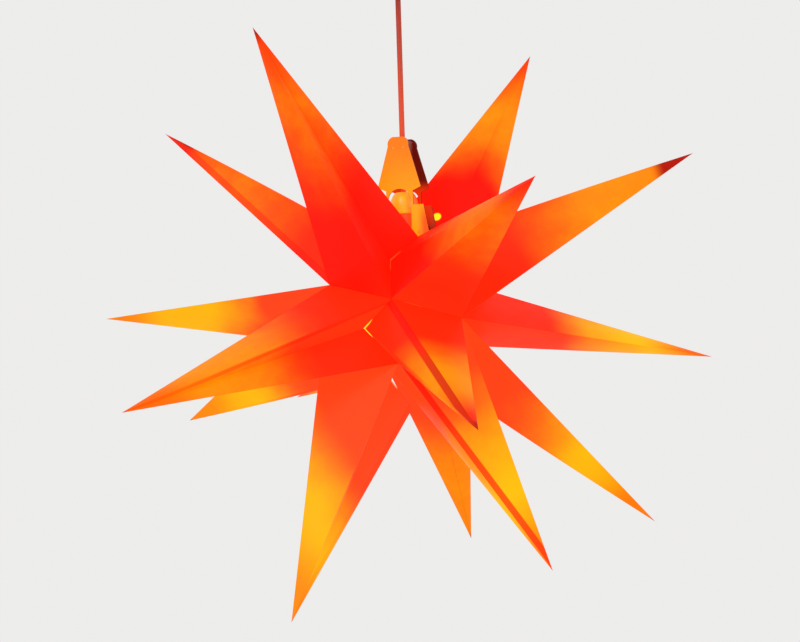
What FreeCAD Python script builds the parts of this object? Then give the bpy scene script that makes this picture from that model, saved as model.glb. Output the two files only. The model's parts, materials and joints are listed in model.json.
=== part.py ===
"""Folding film star pendant: eighteen hollow spikes, a two-plate hanger, lamp, cord and ceiling cup.

Millimetres, +Z up. The origin is on the ceiling, where the cup's rim and the fixing plate meet it;
everything hangs below. -Y is the side that faces the room. Azimuths are in degrees from -Y, positive
towards +X; elevations are above the level plane through the star's centre.
"""

import FreeCAD, Part
import math
import os

from FreeCAD import Vector

# ---------------------------------------------------------------- driving dimensions
# heights, from the ceiling down
CUP_DEPTH = 36.0            # ceiling cup, rim to floor
COLLAR_DROP = 9.0           # collar below the cup
CORD_SPAN = 132.0           # free cord, collar mouth to hanger top
HANGER_RISE = 175.0         # hanger top above the star's centre

# film star
FILM = 0.6                  # modelled film
TIP_SOLID = 26.0            # the folds of a tip lie on each other this far down
SEAM_PLAY = 0.3             # between a closing tab and the film over it
REACH = 300.0               # star's centre to a spike's tip, before each spike's own stretch
NECK_PLAY = 5.0             # between the hanger's legs and the film ring round them

# cord
CORD_D = 5.0
CORE_D = 1.8                # one insulated core
CORD_PLAY = 0.3             # round the cord in a hole that only guides it

# hanger
PLATE_T = 2.0
PLATE_GAP = 29.0            # between the two plates
PLATE_TURN = 15.0           # the hanger is turned to the left of straight ahead
TOP_HALF = 5.0              # half of the flat top
SHOULDER_HALF = 9.8         # half width where the round shoulders end
SHOULDER_DROP = 8.5
SHOULDER_BOW = 1.4          # the round shoulders stand this far out of a straight slant
HOOK_HALF = 20.5            # half width at the hooks' points
HOOK_DROP = 46.5            # hooks' points below the top
HOOK_LIFT = 3.5             # the notch's upper edge rises outwards from its root to the point
NOTCH_HALF = 12.8           # half width at the notches' roots
NOTCH_H = 13.0
LEG_HALF_TOP = 22.5         # half width below the notches
LEG_HALF = 28.5             # half width at the film ring
FOOT_REACH = 7.0            # how far a foot hooks out under the film ring
FOOT_H = 5.0
ARCH_HALF = 11.0
ARCH_DROP = 48.0            # arch's crown below the top
BLOCK_W = 14.0
BLOCK_H = 14.0
BLOCK_DROP = 3.0            # block's top below the plates' top
PIN_R = 1.5
PIN_OFFSET = 1.0            # a saddle's pin stands this far outside the saddle's middle
SADDLE_H = 12.0
SADDLE_W = 6.0
SADDLE_HUG = 4.0            # a saddle reaches this far round the sleeve

# lampholder for a small screw bulb, 14 mm thread
THREAD_R = 7.05             # bore of the threaded sleeve
THREAD_WALL = 0.5
THREAD_L = 19.0
HOLDER_R = 14.0
HOLDER_WALL = 1.6
HOLDER_L = 42.0             # sleeve below the cap's rim
CAP_H = 20.0
CAP_TOP_R = 6.0
CAP_RIM_H = 5.0             # straight part of the cap above its rim
CAP_LEDGE = 0.5             # least width of the cap's wall round the cord hole
DOME_STEPS = 6
LIP_PLAY = 1.0              # sleeve's lower lip to the threaded sleeve
HOLDER_DROP = 50.5          # cap's top below the hanger's top
INSERT_L = 30.0
WIRING_SCREW_L = 5.0
WIRING_SCREW_IN = 3.5       # a wiring screw's axis from the insert's side
CONTACT_HALF = 6.0          # the centre contact is a strip this long each way
CONTACT_HALF_W = 2.0
CORE_RISE = 6.0             # a core turns to its screw this far above the insert
CORE_OFF = 0.18             # between a core and the cord's middle plane

# bulb
BULB_PLAY = 0.1             # thread to sleeve
BULB_CAP_L = 17.0
BULB_NECK_R = 10.0
BULB_R = 22.5
BULB_L = 66.0               # glass and collar below the lampholder's mouth
GLASS_T = 1.0
NECK_ANGLE = 62.0           # the globe ends at this elevation, and the neck begins
NECK_L = 4.0
BULB_STEPS = 14
PAD_RISE = 1.6              # insulator above the cap
PAD_SEAT = 2.0              # insulator inside the cap
PAD_R = 3.2                 # insulator's top
PAD_H = 1.2
TIP_R = 2.6                 # the cap's centre contact, at its foot and at its top
TIP_TOP_R = 2.0
TIP_EDGE = 0.8
COLLAR_L = 9.0
COLLAR_WALL = 1.0           # round the neck
COLLAR_LIP = 1.5            # outside the cap
COLLAR_EDGE = 1.0
WIRE_DROP = 4.0             # upper wires below the collar
WIRE_R = 0.45
FILAMENT_L = 31.0           # from the lower wires to the upper ones
FILAMENT_R = 0.9
FILAMENT_OFF = 6.5          # from the bulb's axis
STEM_R = 1.6
STEM_ROOT_R = 2.2
STEM_END = 2.0              # stem below the lower wires

# ceiling fitting
CUP_R = 45.0
CUP_WALL = 1.6
CUP_ROUND = 10.0
CUP_HOLE_R = 6.0
ROUND_STEPS = 8
COLLAR_R = 9.0
COLLAR_SLOPE = 1.5          # the collar's side draws in this much downwards
SPIGOT_H = 3.0              # collar above the cup's floor
GRUB_RISE = 1.6             # the collar's screw above the cup's floor
PLATE_L = 78.0
PLATE_W = 18.0
STRIP_T = 2.0
SLOT_SPACING = 60.0
SLOT_HALF = 2.25
SLOT_L = 9.0
CLAMP_W = 16.0
CLAMP_H = 12.0
CLAMP_SCREW_END = 2.0       # the clamp's screws end this far below the fixing plate
WINDOW_HALF = 3.5           # the clamp's side window, where the cores come out
WINDOW_H = 6.5
WINDOW_DROP = 0.5           # window below the sheath's end
TERMINAL_L = 18.0
TERMINAL_W = 13.0
TERMINAL_H = 12.0
TERMINAL_GAP = 6.0          # clamp to terminal block
TERMINAL_REACH = 4.0        # a core goes this far into the terminal block
TERMINAL_SCREW_L = 4.0
TERMINAL_SCREW_OUT = 0.5    # a terminal's screw stands this far out of the block
SCREW_R = 1.5
GRUB_R = 0.8
SHEATH_END = 9.0            # the cord's sheath ends this far below the fixing plate, in the clamp
HEAD_R = 2.6
HEAD_H = 1.8
TOUCH = 0.1                 # between pieces that seat on each other
SWING_LIMIT = 12.0          # the cord swings this far each way in the collar's mouth
MOUTH_DEPTH = 6.0           # the cord's pivot above the collar's mouth
FLARE_RISE = 1.0            # the mouth starts to open this far above the pivot
FLARE_SPARE = 4.0           # degrees that the mouth opens beyond the swing
SWING_GAP = 0.6             # the cord's bend in the mouth, left open

# each spike: azimuth, elevation, stretch of the reach
SPIKES = {
    "a_upper": (-55.0, 59.5, 1.04),
    "b_upper": (21.0, 22.0, 1.04),
    "c_upper": (78.0, 29.0, 1.02),
    "d_upper": (125.0, 59.0, 1.01),
    "e_upper": (-151.0, 40.0, 0.98),
    "f_upper": (-102.0, 39.5, 1.0),
    "a_middle": (-56.0, -12.5, 1.01),
    "b_middle": (11.0, -17.0, 0.955),
    "c_middle": (96.0, -7.5, 0.97),
    "d_middle": (147.0, -1.0, 0.97),
    "e_middle": (-168.0, 9.0, 1.0),
    "f_middle": (-102.0, 3.0, 0.99),
    "a_lower": (-35.0, -53.0, 1.04),
    "b_lower": (32.0, -44.0, 1.0),
    "c_lower": (85.0, -40.0, 0.97),
    "d_lower": (160.0, -52.0, 0.92),
    "e_lower": (-155.0, -14.5, 0.97),
    "f_lower": (-128.0, -17.5, 1.0),
}

# corners of the star's core: azimuth, elevation, distance from the centre. A seam between two gores
# runs from the film ring at the hanger, over these, to the loose ring of corners underneath.
CORE = {
    "ab_shoulder": (-21.5, 57.0, 71.5),
    "ab_high": (-11.0, 18.5, 79.0),
    "ab_bend": (-32.0, -0.5, 74.0),
    "ab_low": (-8.0, -24.5, 80.0),
    "ab_hip": (-19.0, -42.5, 71.0),
    "bc_waist": (45.0, 5.0, 69.0),
    "cd_high": (105.0, 26.5, 77.0),
    "cd_bend": (109.0, 2.0, 74.0),
    "cd_low": (112.0, -18.5, 65.0),
    "de_waist": (172.0, 5.0, 75.0),
    "ef_high": (-138.0, 27.0, 78.0),
    "ef_bend": (-138.0, 6.0, 80.0),
    "ef_low": (-140.0, -15.0, 79.0),
    "fa_waist": (-75.0, 28.5, 84.0),
}
SOLE = {
    "a_corner": (4.0, -76.0, 79.0),
    "sole_fa": (-71.0, -60.0, 48.0),
    "sole_ef": (-110.0, -59.5, 52.0),
    "sole_de": (-139.0, -58.5, 52.5),
    "sole_cd": (115.0, -62.0, 50.0),
    "sole_bc": (45.0, -60.0, 52.0),
    "sole_ab": (-41.0, -55.0, 48.5),
}

# the film ring round the hanger: across and in front, as shares of the ring's half sizes, and lift
NECK = {
    "neck_ab": (0.55, 1.12, 2.0),
    "neck_bc": (1.03, 0.8, 0.0),
    "neck_cd": (0.93, -1.06, 0.0),
    "neck_de": (-0.83, -1.17, 3.0),
    "neck_ef": (-1.1, 0.05, 0.0),
    "neck_fa": (-0.93, 1.06, 0.0),
}
NECK_RISE = 80.0            # film ring above the star's centre

# which corners each spike's open base goes round
BASES = {
    "a_upper": ("fa_waist", "neck_fa", "neck_ab", "ab_shoulder", "ab_high"),
    "b_upper": ("ab_high", "ab_shoulder", "neck_ab", "neck_bc", "bc_waist"),
    "c_upper": ("bc_waist", "neck_bc", "neck_cd", "cd_high"),
    "d_upper": ("cd_high", "neck_cd", "neck_de", "de_waist"),
    "e_upper": ("de_waist", "neck_de", "neck_ef", "ef_high"),
    "f_upper": ("ef_high", "neck_ef", "neck_fa", "fa_waist"),
    "a_middle": ("fa_waist", "ab_high", "ab_bend", "ab_low"),
    "b_middle": ("ab_bend", "ab_high", "bc_waist", "ab_low"),
    "c_middle": ("bc_waist", "cd_high", "cd_bend", "cd_low"),
    "d_middle": ("cd_bend", "cd_high", "de_waist", "cd_low"),
    "e_middle": ("de_waist", "ef_high", "ef_bend", "ef_low"),
    "f_middle": ("ef_bend", "ef_high", "fa_waist", "ef_low"),
    "a_lower": ("fa_waist", "ab_low", "ab_hip", "a_corner", "sole_fa"),
    "b_lower": ("sole_ab", "ab_low", "bc_waist", "sole_bc"),
    "c_lower": ("bc_waist", "cd_low", "sole_cd", "sole_bc"),
    "d_lower": ("cd_low", "de_waist", "sole_de", "sole_cd"),
    "e_lower": ("de_waist", "ef_low", "sole_ef", "sole_de"),
    "f_lower": ("ef_low", "fa_waist", "sole_fa", "sole_ef"),
}
TABS = (
    ("b_upper", "ab_shoulder", "ab_high"),
    ("b_middle", "ab_high", "ab_bend"),
)
TAB_W = 9.0
TAB_L = 15.0
TAB_ROOT = 0.3              # a tab starts this far inside the seam's edge

# ---------------------------------------------------------------- places worked out from them
COLLAR_MOUTH = -(CUP_DEPTH + COLLAR_DROP)
HANGER_TOP = COLLAR_MOUTH - CORD_SPAN
STAR_Z = HANGER_TOP - HANGER_RISE
NECK_Z = STAR_Z + NECK_RISE
NECK_HALF = LEG_HALF + NECK_PLAY
NECK_DEPTH = PLATE_GAP / 2 + PLATE_T + NECK_PLAY
PIVOT_Z = COLLAR_MOUTH + MOUTH_DEPTH
BLOCK_TOP = HANGER_TOP - BLOCK_DROP
CAP_TOP = HANGER_TOP - HOLDER_DROP
RIM_Z = CAP_TOP - CAP_H
MOUTH_Z = RIM_Z - HOLDER_L
SADDLE_Z = RIM_Z - 2 * SADDLE_H
SADDLE_U = HOLDER_R + SADDLE_W / 2
FOOT_TOP = NECK_Z - 2 * FILM - TOUCH
THREAD_Z = MOUTH_Z + 2 * HOLDER_WALL
THREAD_TOP = THREAD_Z + THREAD_L
BULB_CAP_TOP = THREAD_Z + BULB_CAP_L
PAD_Z = BULB_CAP_TOP + PAD_RISE
CONTACT_Z = PAD_Z + PAD_H + TOUCH
UP = Vector(0, 0, 1)


# ---------------------------------------------------------------- helpers
def save(node, *solids):
    """Write one node: one solid, or a group of separate ones."""
    shape = solids[0] if len(solids) == 1 else Part.makeCompound(list(solids))
    shape.exportStep(os.path.join("parts", node + ".step"))


def from_centre(azimuth, elevation, distance):
    """A point seen from the star's centre."""
    turn = math.radians(azimuth)
    lift = math.radians(elevation)
    level = distance * math.cos(lift)
    return Vector(level * math.sin(turn), -level * math.cos(turn), STAR_Z + distance * math.sin(lift))


def in_hanger(across, front, z):
    """A point in the hanger's own directions: across the plates, and out of the front plate."""
    turn = math.radians(-PLATE_TURN)
    x = across * math.cos(turn) + front * math.sin(turn)
    y = across * math.sin(turn) - front * math.cos(turn)
    return Vector(x, y, z)


def turn_into_hanger(shape):
    """Turn a shape modelled square to the room into the hanger's directions."""
    shape.rotate(Vector(0, 0, 0), UP, -PLATE_TURN)
    return shape


def tube(outer, inner, z_low, z_high, x=0.0, y=0.0):
    """An upright tube, or a rod where the inner radius is nought."""
    body = Part.makeCylinder(outer, z_high - z_low, Vector(x, y, z_low))
    if inner > 0:
        body = body.cut(Part.makeCylinder(inner, z_high - z_low + 2, Vector(x, y, z_low - 1)))
    return body


def block(x_low, x_high, y_low, y_high, z_low, z_high):
    """A plain block between two corners."""
    return Part.makeBox(x_high - x_low, y_high - y_low, z_high - z_low, Vector(x_low, y_low, z_low))


def turned(profile):
    """Turn a closed outline of (radius, height) points round the upright axis."""
    points = [Vector(radius, 0, z) for radius, z in profile]
    face = Part.Face(Part.makePolygon(points + points[:1]))
    return face.revolve(Vector(0, 0, 0), UP, 360)


def arc_points(centre, radius, start, end, count):
    """Points of an arc in the turned outline's plane, both ends included."""
    points = []
    for step in range(count + 1):
        angle = math.radians(start + (end - start) * step / count)
        points.append((centre[0] + radius * math.cos(angle), centre[1] + radius * math.sin(angle)))
    return points


# ---------------------------------------------------------------- film star
def corners():
    """Every named corner of the star's core as a point."""
    points = {}
    for name, place in {**CORE, **SOLE}.items():
        points[name] = from_centre(*place)
    for name, (across, front, lift) in NECK.items():
        points[name] = in_hanger(across * NECK_HALF, front * NECK_DEPTH, NECK_Z + lift)
    return points


def triangle(a, b, c):
    return Part.Face(Part.makePolygon([a, b, c, a]))


def quad(a, b, c, d):
    return Part.Face(Part.makePolygon([a, b, c, d, a]))


def mean(points):
    total = Vector(0, 0, 0)
    for point in points:
        total = total + point
    return total * (1.0 / len(points))


def spike(ring, tip):
    """A hollow film pyramid, open at its base and solid near its tip, with walls of even thickness."""
    axis = (tip - mean(ring)).normalize()
    if sense(ring, axis) < 0:
        ring = ring[::-1]
    following = ring[1:] + ring[:1]
    inward = [(tip - a).cross(b - a).normalize() for a, b in zip(ring, following)]
    inner = []
    top = []
    end = tip - axis * TIP_SOLID
    for k, corner in enumerate(ring):
        before = inward[k - 1]
        after = inward[k]
        low = corner + (before + after) * (FILM / (1 + before.dot(after)))
        ridge = (tip - corner).normalize()
        inner.append(low)
        top.append(low + ridge * ((end - low).dot(axis) / ridge.dot(axis)))
    faces = [Part.Face(Part.makePolygon(top + top[:1]))]
    for k in range(len(ring)):
        n = (k + 1) % len(ring)
        faces.append(triangle(ring[k], ring[n], tip))
        faces.append(quad(inner[k], inner[n], top[n], top[k]))
        faces.append(triangle(ring[k], ring[n], inner[n]))
        faces.append(triangle(ring[k], inner[n], inner[k]))
    solid = Part.makeSolid(Part.makeShell(faces))
    if solid.Volume < 0:
        solid.reverse()
    return solid


def sense(ring, axis):
    """Positive where the ring runs anticlockwise as seen from the tip."""
    middle = mean(ring)
    total = Vector(0, 0, 0)
    for a, b in zip(ring, ring[1:] + ring[:1]):
        total = total + (a - middle).cross(b - middle)
    return total.dot(axis)


def closing_tab(a, b, tip, inside):
    """A film tab of gore A that lies along the inside of gore B's film, at the edge from a to b."""
    along = (b - a).normalize()
    middle = (a + b) * 0.5
    outward = tip - middle
    outward = (outward - along * outward.dot(along)).normalize()
    inward = along.cross(outward)
    if inward.dot(inside - middle) < 0:
        inward = -inward
    start = middle + inward * (FILM + SEAM_PLAY) - along * (TAB_L / 2) - outward * TAB_ROOT
    far = outward * (TAB_W + TAB_ROOT)
    outline = [start, start + along * TAB_L, start + along * TAB_L + far, start + far]
    return quad(*outline).extrude(inward * FILM)


def make_star():
    points = corners()
    tips = {}
    rings = {}
    for name, (azimuth, elevation, stretch) in SPIKES.items():
        tips[name] = from_centre(azimuth, elevation, REACH * stretch)
        rings[name] = [points[corner] for corner in BASES[name]]
        save("spike_" + name, spike(rings[name], tips[name]))
    tabs = []
    for name, a, b in TABS:
        tabs.append(closing_tab(points[a], points[b], tips[name], mean(rings[name])))
    save("closing_tabs", *tabs)


# ---------------------------------------------------------------- hanger
def plate_outline():
    """Half of a plate's outline from the top's middle down to the foot, then up the arch's inside."""
    hook = HANGER_TOP - HOOK_DROP
    ledge = hook - HOOK_LIFT - NOTCH_H
    crown = HANGER_TOP - ARCH_DROP
    foot = FOOT_TOP - FOOT_H
    outer = [
        (TOP_HALF, HANGER_TOP),
        (SHOULDER_HALF, HANGER_TOP - SHOULDER_DROP),
        (HOOK_HALF, hook),
        (NOTCH_HALF, hook - HOOK_LIFT),
        (NOTCH_HALF, ledge),
        (LEG_HALF_TOP, ledge),
        (LEG_HALF, FOOT_TOP),
        (LEG_HALF + FOOT_REACH, FOOT_TOP),
        (LEG_HALF + FOOT_REACH, foot),
        (ARCH_HALF, foot),
        (ARCH_HALF, crown - ARCH_HALF),
    ]
    return outer, crown


def hanger_plate(front):
    """One tapered plate with round shoulders, a hook and notch each side, and an arch."""
    outer, crown = plate_outline()
    y = -(PLATE_GAP / 2 + PLATE_T) if front else PLATE_GAP / 2
    right = [Vector(x, y, z) for x, z in outer]
    left = [Vector(-x, y, z) for x, z in reversed(outer)]
    bow_x = (TOP_HALF + SHOULDER_HALF) / 2 + SHOULDER_BOW
    bow = Vector(bow_x, y, HANGER_TOP - SHOULDER_DROP / 2 + SHOULDER_BOW)
    edges = [Part.Arc(right[0], bow, right[1]).toShape()]
    for a, b in zip(right[1:], right[2:]):
        edges.append(Part.makeLine(a, b))
    edges.append(Part.Arc(right[-1], Vector(0, y, crown), left[0]).toShape())
    for a, b in zip(left, left[1:-1]):
        edges.append(Part.makeLine(a, b))
    edges.append(Part.Arc(left[-2], Vector(-bow.x, y, bow.z), left[-1]).toShape())
    edges.append(Part.makeLine(left[-1], right[0]))
    plate = Part.Face(Part.Wire(edges)).extrude(Vector(0, PLATE_T, 0))
    for x, z in pin_places():
        plate = plate.cut(across_pin(x, z, PIN_R + TOUCH))
    return turn_into_hanger(plate)


def pin_places():
    """Pins: one each side of the cord in the block, and one through each saddle."""
    block_z = BLOCK_TOP - BLOCK_H / 2
    saddle_z = SADDLE_Z + SADDLE_H / 2
    offset = (BLOCK_W / 2 + CORD_D / 2) / 2
    saddle_u = SADDLE_U + PIN_OFFSET
    return [(-offset, block_z), (offset, block_z), (-saddle_u, saddle_z), (saddle_u, saddle_z)]


def across_pin(x, z, radius):
    """A pin's cylinder from the front plate's face to the back plate's face."""
    half = PLATE_GAP / 2 + PLATE_T
    return Part.makeCylinder(radius, 2 * half, Vector(x, -half, z), Vector(0, 1, 0))


def make_hanger():
    save("hanger_plate_front", hanger_plate(True))
    save("hanger_plate_back", hanger_plate(False))
    depth = PLATE_GAP / 2
    body = block(-BLOCK_W / 2, BLOCK_W / 2, -depth, depth, BLOCK_TOP - BLOCK_H, BLOCK_TOP)
    body = body.cut(tube(CORD_D / 2 + CORD_PLAY, 0, BLOCK_TOP - BLOCK_H - 1, BLOCK_TOP + 1))
    screw_z = BLOCK_TOP - BLOCK_H / 2
    grip_end = Vector(0, CORD_D / 2 + CORD_PLAY, screw_z)
    grip_l = depth - TOUCH - grip_end.y
    body = body.cut(Part.makeCylinder(SCREW_R + TOUCH, grip_l + 2, grip_end, Vector(0, 1, 0)))
    saddles = []
    for side in (-1, 1):
        inner = side * (HOLDER_R - SADDLE_HUG)
        outer = side * (HOLDER_R + SADDLE_W)
        saddle = block(min(inner, outer), max(inner, outer), -depth, depth, SADDLE_Z, SADDLE_Z + SADDLE_H)
        saddles.append(saddle.cut(tube(HOLDER_R + TOUCH, 0, SADDLE_Z - 1, SADDLE_Z + SADDLE_H + 1)))
    for x, z in pin_places():
        body = body.cut(across_pin(x, z, PIN_R + TOUCH))
        saddles = [saddle.cut(across_pin(x, z, PIN_R + TOUCH)) for saddle in saddles]
    save("hanger_block", turn_into_hanger(body))
    save("hanger_saddles", *[turn_into_hanger(saddle) for saddle in saddles])
    save("hanger_pins", *[turn_into_hanger(across_pin(x, z, PIN_R)) for x, z in pin_places()])
    grip = Part.makeCylinder(SCREW_R, grip_l, grip_end, Vector(0, 1, 0))
    save("hanger_grip_screw", turn_into_hanger(grip))


# ---------------------------------------------------------------- cord
def make_cord():
    """The free cord hangs straight; its ends are held in the collar's mouth and the hanger's block."""
    low = BLOCK_TOP - BLOCK_H / 3
    save("cord", tube(CORD_D / 2, 0, low, PIVOT_Z))
    save("cord_in_hanger", tube(CORD_D / 2, 0, CAP_TOP - HOLDER_WALL, low - TOUCH))
    print("cord, free:", round(PIVOT_Z - low, 1), "mm, straight")


# ---------------------------------------------------------------- lampholder
def holder_cap():
    """Domed cap with a waist at the cord and a rim that meets the sleeve."""
    dome_low = RIM_Z + CAP_RIM_H
    outside = [(HOLDER_R, RIM_Z), (HOLDER_R, dome_low)]
    rise = CAP_TOP - dome_low
    for step in range(1, DOME_STEPS + 1):
        angle = math.radians(90 * step / DOME_STEPS)
        radius = CAP_TOP_R + (HOLDER_R - CAP_TOP_R) * math.cos(angle)
        outside.append((radius, dome_low + rise * math.sin(angle)))
    hole = CORD_D / 2 + CORD_PLAY
    inside = []
    for radius, z in outside:
        inside.append((max(radius - HOLDER_WALL, hole), z - HOLDER_WALL if z > RIM_Z else z))
    inside[-1] = (hole, CAP_TOP - HOLDER_WALL)
    inside[-2] = (max(inside[-2][0], hole + CAP_LEDGE), CAP_TOP - HOLDER_WALL)
    return turned(outside + [(hole, CAP_TOP)] + list(reversed(inside)))


def make_holder():
    save("holder_cap", holder_cap())
    sleeve = tube(HOLDER_R, HOLDER_R - HOLDER_WALL, MOUTH_Z + HOLDER_WALL, RIM_Z - TOUCH)
    lip = tube(HOLDER_R, THREAD_R + THREAD_WALL + LIP_PLAY, MOUTH_Z, MOUTH_Z + HOLDER_WALL)
    save("holder_body", sleeve.fuse(lip).removeSplitter())
    insert_r = HOLDER_R - HOLDER_WALL - TOUCH
    insert_z = MOUTH_Z + HOLDER_WALL + TOUCH
    bore_r = THREAD_R + THREAD_WALL + TOUCH
    insert = tube(insert_r, 0, insert_z, insert_z + INSERT_L)
    insert = insert.cut(tube(bore_r, 0, insert_z - 1, CONTACT_Z + THREAD_WALL + TOUCH))
    screw_x = insert_r - WIRING_SCREW_IN
    screw_top = insert_z + INSERT_L
    screw_low = screw_top - WIRING_SCREW_L
    head_low = screw_top + TOUCH
    screws = []
    for side in (-1, 1):
        insert = insert.cut(tube(SCREW_R + TOUCH, 0, screw_low, screw_top + 1, side * screw_x))
        shank = tube(SCREW_R, 0, screw_low + TOUCH, head_low, side * screw_x)
        screws.append(shank.fuse(tube(HEAD_R, 0, head_low, head_low + HEAD_H, side * screw_x)))
    save("holder_insert", insert)
    save("holder_thread", tube(THREAD_R + THREAD_WALL, THREAD_R, THREAD_Z, THREAD_TOP))
    save("holder_screws", *screws)
    save("holder_contact", block(-CONTACT_HALF, CONTACT_HALF, -CONTACT_HALF_W, CONTACT_HALF_W,
                                 CONTACT_Z, CONTACT_Z + THREAD_WALL))
    cores = []
    for side in (-1, 1):
        x = side * (CORE_D / 2 + CORE_OFF)
        top = Vector(x, 0, CAP_TOP - HOLDER_WALL - TOUCH)
        bend = Vector(x, 0, screw_top + CORE_RISE)
        end = Vector(side * screw_x, 0, head_low + HEAD_H + CORE_D / 2 + TOUCH)
        cores.append(bent_core([top, bend, end], CORE_D / 2))
    save("holder_cores", *cores)


def bent_core(points, radius):
    """A round core along three points, its corner rounded by one arc."""
    a, b, c = points
    first = (a - b).normalize()
    second = (c - b).normalize()
    trim = 0.45 * min((a - b).Length, (c - b).Length)
    start = b + first * trim
    end = b + second * trim
    bisector = (first + second).normalize()
    half = first.getAngle(second) / 2
    bend = trim * math.tan(half)
    middle = b + bisector * (bend / math.sin(half) - bend)
    path = Part.Wire([Part.makeLine(a, start), Part.Arc(start, middle, end).toShape(), Part.makeLine(end, c)])
    section = Part.Wire([Part.makeCircle(radius, a, b - a)])
    return path.makePipeShell([section], True, False)


# ---------------------------------------------------------------- bulb
def make_bulb():
    cap_r = THREAD_R - BULB_PLAY
    bore_r = cap_r - THREAD_WALL - TOUCH
    save("bulb_cap", tube(cap_r, cap_r - THREAD_WALL, MOUTH_Z, BULB_CAP_TOP))
    seat = BULB_CAP_TOP - PAD_SEAT
    insulator = [(0, seat), (bore_r, seat), (bore_r, BULB_CAP_TOP), (PAD_R, PAD_Z), (0, PAD_Z)]
    save("bulb_insulator", turned(insulator))
    contact = [(0, PAD_Z), (TIP_R, PAD_Z), (TIP_TOP_R, PAD_Z + TIP_EDGE), (0, PAD_Z + PAD_H)]
    save("bulb_contact", turned(contact))
    collar_low = MOUTH_Z - COLLAR_L
    collar = [
        (BULB_NECK_R + COLLAR_WALL, collar_low),
        (cap_r + COLLAR_LIP, MOUTH_Z - COLLAR_EDGE),
        (cap_r + COLLAR_LIP, MOUTH_Z - TOUCH),
        (bore_r, MOUTH_Z - TOUCH),
        (bore_r, collar_low),
    ]
    save("bulb_collar", turned(collar))
    save("bulb_glass", bulb_glass(collar_low - TOUCH))
    high = collar_low - WIRE_DROP
    low = high - FILAMENT_L
    flange_r = bore_r - TOUCH
    stem = [turned([(0, low - STEM_END), (STEM_R, low - STEM_END), (STEM_ROOT_R, collar_low),
                    (flange_r, collar_low), (flange_r, MOUTH_Z), (0, MOUTH_Z)])]
    filaments = []
    for step in range(4):
        out = FreeCAD.Rotation(UP, 45 + 90 * step).multVec(Vector(1, 0, 0))
        for z in (low, high):
            stem.append(Part.makeCylinder(WIRE_R, FILAMENT_OFF + FILAMENT_R, Vector(0, 0, z), out))
        spot = out * FILAMENT_OFF + Vector(0, 0, low + WIRE_R + TOUCH)
        filaments.append(Part.makeCylinder(FILAMENT_R, high - low - 2 * (WIRE_R + TOUCH), spot))
    save("bulb_stem", stem[0].fuse(stem[1:]))
    save("bulb_filaments", *filaments)


def bulb_glass(top):
    """Globe with a neck, drawn as one blown wall."""
    centre_z = MOUTH_Z - BULB_L + BULB_R
    neck_low = top - NECK_L
    outer = arc_points((0, centre_z), BULB_R, -90, NECK_ANGLE, BULB_STEPS)
    outer += [(BULB_NECK_R, neck_low), (BULB_NECK_R, top)]
    inner_r = BULB_R - GLASS_T
    inner = arc_points((0, centre_z), inner_r, -90, NECK_ANGLE, BULB_STEPS)
    inner += [(BULB_NECK_R - GLASS_T, neck_low), (BULB_NECK_R - GLASS_T, top)]
    return turned(outer + list(reversed(inner)))


# ---------------------------------------------------------------- ceiling fitting
def canopy_cup():
    """Shallow round cup, rim against the ceiling, its lower edge rounded."""
    round_centre = (CUP_R - CUP_ROUND, -CUP_DEPTH + CUP_ROUND)
    outer = [(CUP_HOLE_R, -CUP_DEPTH)]
    outer += arc_points(round_centre, CUP_ROUND, -90, 0, ROUND_STEPS)
    outer += [(CUP_R, 0)]
    inner = [(CUP_HOLE_R, -CUP_DEPTH + CUP_WALL)]
    inner += arc_points(round_centre, CUP_ROUND - CUP_WALL, -90, 0, ROUND_STEPS)
    inner += [(CUP_R - CUP_WALL, 0)]
    return turned(outer + list(reversed(inner)))


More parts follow.
